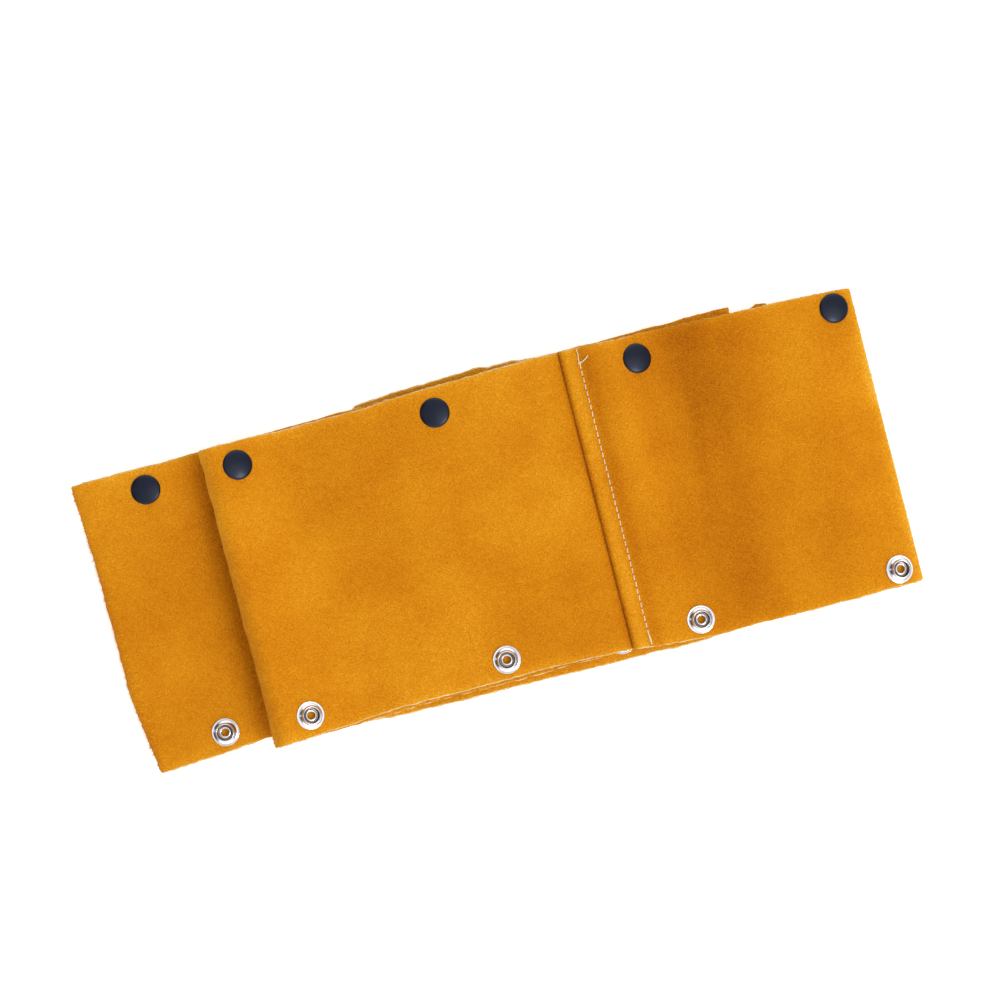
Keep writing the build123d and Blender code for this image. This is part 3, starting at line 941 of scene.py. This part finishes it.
def plated(name, stops, roughness):
    """Bright plating over pressed sheet metal, with faint handling marks."""
    shader = Shader(name, roughness, 1.0)
    cloud = shader.noise(240)
    marks = shader.noise(1.0, 3, 0.7, (500, 5200, 900), 0.9)
    value = shader.weighted([(cloud, 0.5), (marks, 0.35)], 0.6)
    rough = shader.weighted([(cloud, 0.08), (marks, 0.10)], roughness)
    return shader.surface_is(Base_Color=shader.ramp(value, stops), Roughness=rough,
                             Normal=shader.bump(marks, 0.000006, 0.3))


def thread_material():
    """Undyed twisted thread, its plies shaded by fine diagonal hairs."""
    shader = Shader("sewing_thread", 0.8)
    hairs = shader.noise(1.0, 3, 0.6, (5200, 2400, 5200), 0.8)
    soil = shader.noise(170)
    value = shader.weighted([(hairs, 0.8), (soil, 0.7)], 0.55)
    stops = shown((0.15, 170, 138, 90), (0.5, 224, 206, 166), (0.9, 246, 238, 216))
    return shader.surface_is(Base_Color=shader.ramp(value, stops), Normal=shader.bump(hairs, 0.00015, 0.6),
                             Sheen_Weight=0.2, Sheen_Roughness=0.5, Specular_IOR_Level=0.25)


def needle_hole_shade_material():
    """Painted shade for a needle hole: a dark colour where the hole's mouth falls into shadow."""
    shader = Shader("needle_hole_shade", 0.95)
    grain = shader.noise(2500)
    stops = shown((0.3, 84, 42, 6), (0.7, 140, 80, 16))
    return shader.surface_is(Base_Color=shader.ramp(shader.weighted([(grain, 1.0)], 0.5), stops),
                             Normal=shader.bump(grain, 0.0002, 0.5), Specular_IOR_Level=0.05)


FACE_STOPS = shown((0.02, 116, 56, 1), (0.28, 178, 101, 5), (0.48, 203, 125, 12),
                   (0.64, 221, 148, 24), (0.90, 244, 192, 76))
BACK_STOPS = shown((0.05, 112, 56, 3), (0.30, 170, 96, 7), (0.50, 204, 127, 16),
                   (0.70, 222, 149, 28), (0.95, 240, 188, 84))
FACE, BACK, CUT = 0, 1, 2
LEATHER_MATERIALS = [suede("suede_face", FACE_STOPS), suede("suede_back", BACK_STOPS, 1.5), cut_edge()]
ENAMEL = enamel()
NICKEL = plated("nickel", shown((0.15, 168, 168, 174), (0.7, 224, 224, 230)), 0.09)
DULL_NICKEL = plated("dull_nickel", shown((0.15, 112, 98, 86), (0.7, 178, 164, 150)), 0.30)
SPRING_WIRE = plated("spring_wire", shown((0.15, 140, 132, 118), (0.7, 206, 200, 186)), 0.3)
THREAD = thread_material()
NEEDLE_HOLE_SHADE = needle_hole_shade_material()


# ---- The leather ----


def grids():
    """Each hide's line, points, normals and strip coordinates, in strip order."""
    made, along = [], 0.0
    for hide, line in enumerate(hide_lines()):
        points, normals, strip = hide_grid(line, hide, along)
        made.append((line, points, normals, strip))
        along = float(strip[-1, 0, 0]) + 20
    return made


def part_rows(line, part):
    """The rows of one piece, with the row that it shares with the piece before it."""
    rows = np.where(line["part"] == part)[0]
    return np.arange(max(rows[0] - 1, 0), rows[-1] + 1)


def attach(obj, panel, cad=None):
    """Sets the panel that a piece rides on, and hides the CAD node that it stands for."""
    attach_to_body(obj, f"panel_{panel}")
    if cad:
        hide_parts(cad)


def make_leather():
    """Every piece of leather, riding on its panel or lying bent round its fold."""
    for line, points, normals, strip in GRIDS:
        for part in dict.fromkeys(line["part"]):
            rows = part_rows(line, part)
            panel = int(line["a"][rows[-1]])
            first, last = rows[0] == 0, rows[-1] == len(line["x"]) - 1
            block = points[rows], normals[rows], strip[rows]
            obj = leather_piece(part, *block, first, last, seed=len("leather_" + part) + panel)
            if part.startswith("fold"):
                cross_fold(obj, int(part[5]))
            else:
                attach(obj, panel, f"{part}_hide")


def cross_fold(obj, fold):
    """Hides the fold's CAD bend and bakes the bend piece's transform into its mesh, where it stays."""
    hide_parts(f"fold_{fold}_bend")
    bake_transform(obj)


# ---- Snaps ----


def cap_profile():
    dome = [(r, 1.12 + 0.88 * (1 - (r / 6.3) ** 2)) for r in np.linspace(0, 6.3, 12)]
    rim = [(6.6, 1.02), (7.0, 0.82), (7.3, 0.58), (7.46, 0.36), (7.48, 0.2), (7.36, 0.08), (7.15, 0.02)]
    inside = [(6.4, 0.02), (6.1, 0.45), (2.4, 0.8), (2.3, 0.6), (2.3, -1.75), (3.2, -1.76), (3.25, -1.95),
              (2.9, -2.15), (1.9, -2.2), (1.7, -2.0), (1.7, 1.1), (1.5, 1.3), (0, 1.35)]
    return dome + rim + inside


def socket_profile():
    corners = [(2.35, -1.3), (6.25, -1.3), (6.25, -5.1), (4.65, -5.1), (4.65, -4.65), (5.75, -4.5),
               (5.8, -1.75), (2.35, -1.7)]
    return rounded(corners, 0.5)


def stud_profile():
    corners = [(2.25, 0), (6.9, 0), (7.1, 0.3), (6.9, 0.62), (6.25, 0.5), (5.6, 0.75), (4.9, 1.3),
               (4.45, 2.0), (4.4, 2.4), (4.72, 2.9), (4.72, 3.5), (4.4, 4.0), (4.05, 3.85), (3.9, 3.2),
               (3.8, 1.05), (2.25, 0.88)]
    return rounded(corners, 0.3, 5)


def eyelet_profile():
    corners = [(5.8, -1.3), (5.75, -1.75), (4.2, -2.1), (2.3, -2.1), (1.9, -1.6), (1.86, 2.2), (2.3, 2.65),
               (3.0, 2.3), (3.02, 1.6), (2.6, 1.3), (2.3, -1.3)]
    return rounded(corners, 0.35, 5)


def spring_shape():
    """A wire ring, split so that it can open over the stud."""
    half_gap = 0.12
    angles = np.linspace(half_gap, 2 * math.pi - half_gap, 60)
    ring = np.stack([5.05 * np.cos(angles), 5.05 * np.sin(angles), np.full(60, -4.1)], -1)
    return tube(ring, 0.35)


# Each kind of snap piece: its shape, its materials and its slot
SNAPS = {
    "caps": (lathe(cap_profile()), [ENAMEL], "cap_enamel"),
    "sockets": (lathe(socket_profile()), [NICKEL], "nickel"),
    "socket_springs": (spring_shape(), [SPRING_WIRE], "spring_wire"),
    "studs": (lathe(stud_profile()), [NICKEL, DULL_NICKEL], "nickel"),
    "eyelets": (lathe(eyelet_profile()), [NICKEL], "nickel"),
}


def dull_inside(shape):
    """1 for a stud's faces inside its nipple, which are left dull, and 0 for the polished rest."""
    vertices, faces = shape
    middles = np.array([vertices[list(face)].mean(0) for face in faces])
    return (np.hypot(middles[:, 0], middles[:, 1]) < 3.86) & (middles[:, 2] > 0.6)


def seated(shape, panel, centre, spin):
    """A snap piece set square to the leather at a centre, with its face on the leather's face."""
    z, slope_x, slope_y = surface_frame(panel, centre[0], centre[1])
    up = unit(np.array([-slope_x, -slope_y, 1.0]))
    facing = up if FACE_UP[panel] else -up
    side = unit(np.cross([math.sin(spin), math.cos(spin), 0.0], facing))
    turn = np.stack([side, np.cross(facing, side), facing], -1)
    vertices, faces = shape
    origin = np.array([centre[0], centre[1], z]) + facing * LEATHER / 2
    return vertices @ turn.T + origin, faces


def weld(obj):
    """Merges the lathed shapes' doubled points on their axis and marks the crisp edges."""
    mesh = obj.data
    work = bmesh.new()
    work.from_mesh(mesh)
    bmesh.ops.remove_doubles(work, verts=work.verts, dist=1e-6)
    work.to_mesh(mesh)
    work.free()
    mesh.set_sharp_from_angle(angle=math.radians(42))


def make_snaps():
    """Every snap piece, one object for each kind on each panel."""
    rng = np.random.default_rng(5)
    for panel in PANELS:
        for kind, (shape, materials, slot) in SNAPS.items():
            centres = STUDS[panel] if kind in ("studs", "eyelets") else CAPS[panel]
            spins = rng.uniform(0, 2 * math.pi, len(centres))
            shapes = [seated(shape, panel, c, s) for c, s in zip(centres, spins)]
            inside = np.tile(dull_inside(shape), len(centres)) if kind == "studs" else None
            obj = new_piece(f"{kind}_{panel}", *merge(shapes), materials, inside)
            weld(obj)
            attach(obj, panel, f"panel_{panel}_{kind}")


# ---- Sewing ----


def twisted(points, radius=THREAD_RADIUS):
    """Two plies twisted round each other along points."""
    points = np.asarray(points, float)
    along = running_length(points)
    tangents = unit(np.gradient(points, axis=0))
    side = unit(np.cross(tangents, [0.31, 0.17, 0.93]))
    up = np.cross(side, tangents)
    plies = []
    for start in (0.0, math.pi):
        angle = (2 * math.pi * TWISTS_PER_MM * along + start)[:, None]
        ply = points + 0.5 * radius * (np.cos(angle) * side + np.sin(angle) * up)
        plies.append(tube(ply, 0.58 * radius, 6))
    return merge(plies)


def band_top(panel, x, y):
    """Height of the raised band's face."""
    x, y = np.asarray(x, float), np.asarray(y, float)
    return MIDDLE[panel] + 2 * TURN + HALF + lift(panel, x, y)


def stitch_ends(panel, from_seam=STITCH_FROM_SEAM, inset=1.2):
    """The x of a row of stitches beside a seam, and the y where it starts and stops."""
    x = SEAM[panel] + from_seam
    low = float(np.interp(x, *EDGES[(panel, -1)])) + inset
    high = float(np.interp(x, *EDGES[(panel, 1)])) - inset
    return x, low, high


def thread_on_band(panel, x, y, above, radius=THREAD_RADIUS):
    """A thread lying a little above the raised band."""
    return twisted(np.stack([x, y, band_top(panel, x, y) + above], -1), radius)


def topstitches(panel, rng):
    """The row of stitches, its thick start, and the knot and tail left at the cap edge."""
    x, low, high = stitch_ends(panel)
    shapes = []
    knot_y = high - KNOT_FROM_EDGE
    share = np.linspace(0, 1, 11)
    for i in range(int((knot_y - low) / STITCH_PITCH)):
        y0 = knot_y - (i + 1) * STITCH_PITCH + 0.3
        y = y0 + share * (STITCH_PITCH - 0.5)
        arch = 0.16 * np.sin(math.pi * share) ** 0.6 - 0.55 * np.abs(2 * share - 1) ** 7
        xs = x + 0.22 * (share - 0.5) + rng.normal(0, 0.06)
        shapes.append(thread_on_band(panel, xs, y, arch))
    start = np.linspace(low - 0.4, low + 4.6, 12)
    shapes.append(thread_on_band(panel, x + 0.25 + 0.1 * np.sin(start), start, 0.35, 0.42))
    loose = np.linspace(high + 0.9, knot_y, 12)
    shapes.append(thread_on_band(panel, x + 0.25 * np.sin(loose * 0.7), loose, 0.22))
    turn = np.linspace(0, 3.2 * math.pi, 26)
    knot = np.stack([x + 0.45 * np.cos(turn), knot_y + 0.5 * np.sin(turn),
                     band_top(panel, x, knot_y) + 0.3 + 0.05 * turn], -1)
    shapes.append(twisted(knot, 0.3))
    tail = np.linspace(0, 1, 12)
    tail_y = knot_y + 2.8 * tail - 0.6 * np.sin(math.pi * tail)
    shapes.append(thread_on_band(panel, x + 5.0 * tail, tail_y, 0.45))
    return merge(shapes)


def needle_hole_shades(panel):
    """Painted shade of the needle holes between the stitches: small dark flat drops that sink into the
    leather.
    """
    x, low, high = stitch_ends(panel)
    drop = lathe([(0, 0.06), (0.16, 0.05), (0.27, 0.0), (0.32, -0.1), (0.25, -0.3), (0, -0.36)], 12)
    knot_y = high - KNOT_FROM_EDGE
    shapes = []
    for i in range(int((knot_y - low) / STITCH_PITCH) + 1):
        y = knot_y - i * STITCH_PITCH + 0.08
        z = float(band_top(panel, x, y))
        shapes.append((drop[0] * [1.0, 1.25, 1.0] + [x, y, z], drop[1]))
    return merge(shapes)


def closing_stitches(panel, rng):
    """The hidden lockstitches that join the two hides, on the back of the turned seam."""
    x, low, high = stitch_ends(panel, -2 * TURN, 1.5)
    share = np.linspace(0, 1, 8)
    shapes = []
    for start in np.arange(low, high - STITCH_PITCH, STITCH_PITCH):
        y = start + share * (STITCH_PITCH - 0.7)
        z = MIDDLE[panel] - TURN + lift(panel, np.full(8, x), y) + rng.normal(0, 0.05)
        xs = x + 0.35 - 0.28 * np.sin(math.pi * share)
        shapes.append(twisted(np.stack([xs, y, z], -1)))
    return merge(shapes)


def make_sewing():
    """Each seam's threads and the painted shade of its needle holes."""
    rng = np.random.default_rng(11)
    for panel in SEAM:
        makers = (("topstitch", topstitches(panel, rng)), ("closing_stitch", closing_stitches(panel, rng)))
        for name, shape in makers:
            obj = new_piece(f"{name}_{panel}", *shape, [THREAD])
            attach(obj, panel, f"panel_{panel}_{name}")
        marks = new_piece(f"needle_hole_shades_{panel}", *needle_hole_shades(panel), [NEEDLE_HOLE_SHADE])
        weld(marks)
        attach(marks, panel)


# ---- Loose fibres along the cut edges ----


def fibres(roots, ways, lengths, curl, radius):
    """Thin bent hairs, all at once: each has four rings of three points."""
    count, rings = len(roots), 4
    share = np.linspace(0, 1, rings)[None, :, None]
    lines = roots[:, None] + ways[:, None] * lengths[:, None, None] * share
    lines = lines + curl[:, None] * lengths[:, None, None] * share ** 2
    side = unit(np.cross(ways, [0.2, 0.3, 0.93]))
    ring = ring_round(side, unit(np.cross(side, ways)), 3)
    thickness = radius * (1 - 0.8 * share)
    vertices = (lines[:, :, None] + thickness[..., None] * ring[:, None]).reshape(-1, 3)
    first = np.arange(count)[:, None, None] * rings * 3
    quads = (first + tube_quads(rings, 3)).reshape(-1, 4)
    ends = (first + np.array([[2, 1, 0], [9, 10, 11]])).reshape(-1, 3)
    return vertices, [tuple(q) for q in quads] + [tuple(e) for e in ends]


def pick(at, along, values):
    """Rows of three values, read at places along their line."""
    return np.stack([np.interp(at, along, values[:, k]) for k in range(3)], -1)


def edge_fibres(points, normals, per_mm, rng):
    """Hairs that stand out of a piece's long cut edges."""
    shapes = []
    for row, inner in ((0, 1), (-1, -2)):
        edge, within, normal = points[:, row], points[:, inner], normals[:, row]
        along = running_length(edge)
        count = int(along[-1] * per_mm)
        at = rng.uniform(0, along[-1], count)
        out = unit(pick(at, along, edge - within))
        up = pick(at, along, normal)
        on = np.cross(up, out)
        roots = pick(at, along, edge) + 0.15 * out + up * rng.uniform(-0.5, 0.5, (count, 1))
        ways = out * rng.uniform(0.25, 1, (count, 1)) + on * rng.normal(0, 0.7, (count, 1))
        ways = unit(ways + up * rng.normal(0.05, 0.3, (count, 1)))
        curl = on * rng.normal(0, 0.5, (count, 1)) + up * rng.normal(0, 0.2, (count, 1))
        shapes.append(fibres(roots, ways, rng.uniform(0.3, 1.2, count), curl, 0.045))
    return merge(shapes)


def fold_fibres(points, normals, rng):
    """Hairs of the nap that stand out where the leather turns over."""
    outer = np.argmin(points[:, points.shape[1] // 2, 0])
    edge, normal = points[outer, 3:-3], normals[outer, 3:-3]
    count = int(4 * (edge[-1, 1] - edge[0, 1]))
    at = rng.uniform(edge[0, 1], edge[-1, 1], count)
    out = pick(at, edge[:, 1], normal)
    out = out * np.where(out[:, :1] > 0, -1.0, 1.0)
    ways = unit(out + [0, 0, 0.35] + rng.normal(0, 0.6, (count, 3)))
    roots = pick(at, edge[:, 1], edge) + out * (HALF - 0.1)
    return fibres(roots, ways, rng.uniform(0.5, 1.9, count), rng.normal(0, 0.4, (count, 3)), 0.11)


def make_fibres():
    """Loose hairs on the cut edges and on the two bends in view."""
    rng = np.random.default_rng(23)
    for line, points, normals, _ in GRIDS:
        for part in dict.fromkeys(line["part"]):
            rows = part_rows(line, part)
            number = int(part.split("_")[1])
            if part in ("fold_2", "fold_4"):
                shape, surface, panel = fold_fibres(points[rows], normals[rows], rng), FACE, number + 1
            elif part.startswith("panel"):
                per_mm = 3.4 if number == 5 else 2.4
                shape, surface, panel = edge_fibres(points[rows], normals[rows], per_mm, rng), CUT, number
            else:
                continue
            obj = new_piece(f"edge_fibres_{part}", *shape, [LEATHER_MATERIALS[surface]])
            attach(obj, panel)


# ---- Floor, light and camera ----


FLOOR_HALF = 15.0
FLOOR_GLOW = 0.45
LIGHT_STRENGTH = 0.83
VIEW_TURN = math.radians(-14.3)
VIEW_RIGHT = np.array([math.cos(VIEW_TURN), math.sin(VIEW_TURN), 0])
VIEW_UP = np.array([-math.sin(VIEW_TURN), math.cos(VIEW_TURN), 0])


def floor_material():
    """A white light table, so the pale ground shows next to no shadow."""
    shader = Shader("floor", 0.9)
    cloud = shader.noise(2.0, 2, 0.5)
    stops = [(0.3, (0.93, 0.93, 0.93, 1)), (0.7, (0.95, 0.95, 0.95, 1))]
    shader.surface_is(Emission_Color=(1, 1, 1, 1), Emission_Strength=FLOOR_GLOW)
    return shader.surface_is(Base_Color=shader.ramp(shader.weighted([(cloud, 1)], 0.5), stops))


def make_floor():
    half = FLOOR_HALF / MM
    corners = [(-half, -half, 0), (half, -half, 0), (half, half, 0), (-half, half, 0)]
    new_piece("floor", corners, [(0, 1, 2, 3)], [floor_material()])


def add_softbox(name, place, size, watts):
    """A square lamp at a place, facing the origin."""
    light = bpy.data.lights.new(name, "AREA")
    light.size = size
    light.energy = watts
    lamp = bpy.data.objects.new(name, light)
    bpy.context.scene.collection.objects.link(lamp)
    lamp.location = place
    lamp.rotation_euler = (-Vector(place)).to_track_quat("-Z", "Y").to_euler()


def make_lights():
    """A white tent: dim on the left but for a bright strip, with a key light and two bright walls."""
    world = bpy.data.worlds.new("studio")
    nodes = Nodes(world)
    way = nodes.add("ShaderNodeTexCoord").outputs["Generated"]

    def along(direction):
        return nodes.two("ShaderNodeVectorMath", "DOT_PRODUCT", way, direction).outputs["Value"]

    def graded(value, start, end, low, high):
        made = nodes.add("ShaderNodeMapRange", {"interpolation_type": "SMOOTHSTEP"}, Value=value,
                         From_Min=start, From_Max=end, To_Min=low, To_Max=high)
        return made.outputs["Result"]

    up_or_down = nodes.math("ABSOLUTE", along(VIEW_UP), 0.0)
    ceiling = graded(along((0, 0, 1)), 0.1, 0.75, 0.5, 1.0)
    dim_left = graded(along(-VIEW_RIGHT), 0.38, 0.72, 1.0, 0.18)
    strip = graded(up_or_down, 0.06, 0.14, 1.1, 0.0)
    walls = graded(up_or_down, 0.55, 0.85, 0.0, 1.5)
    key_way = 0.42 * VIEW_RIGHT - 0.22 * VIEW_UP + np.array([0, 0, 0.88])
    key = graded(along(key_way), 0.84, 0.99, 0.0, 1.1)
    level = nodes.math("ADD", nodes.math("MULTIPLY", ceiling, nodes.math("MAXIMUM", dim_left, strip)), key)
    background = nodes.tree.nodes["Background"]
    nodes.put(background.inputs["Color"], nodes.math("ADD", level, walls))
    background.inputs["Strength"].default_value = LIGHT_STRENGTH
    bpy.context.scene.world = world
    add_softbox("low_side", (0.55, -0.7, 1.1), 0.5, 6)


def make_camera():
    """Straight above the stack, turned so that the strip climbs to the upper right."""
    view_width = 0.4985
    height = 1.3
    top = (MIDDLE[5] + HALF) * MM
    data = bpy.data.cameras.new("camera")
    data.sensor_width = 36.0
    data.lens = data.sensor_width * height / view_width
    camera = bpy.data.objects.new("camera", data)
    camera.location = (0.0058, 0.0128, top + height)
    camera.rotation_euler = (0, 0, VIEW_TURN)
    bpy.context.scene.collection.objects.link(camera)
    bpy.context.scene.camera = camera
    bpy.context.scene.view_settings.view_transform = "Standard"


GRIDS = grids()
make_leather()
make_snaps()
make_sewing()
make_fibres()
make_floor()
make_lights()
make_camera()
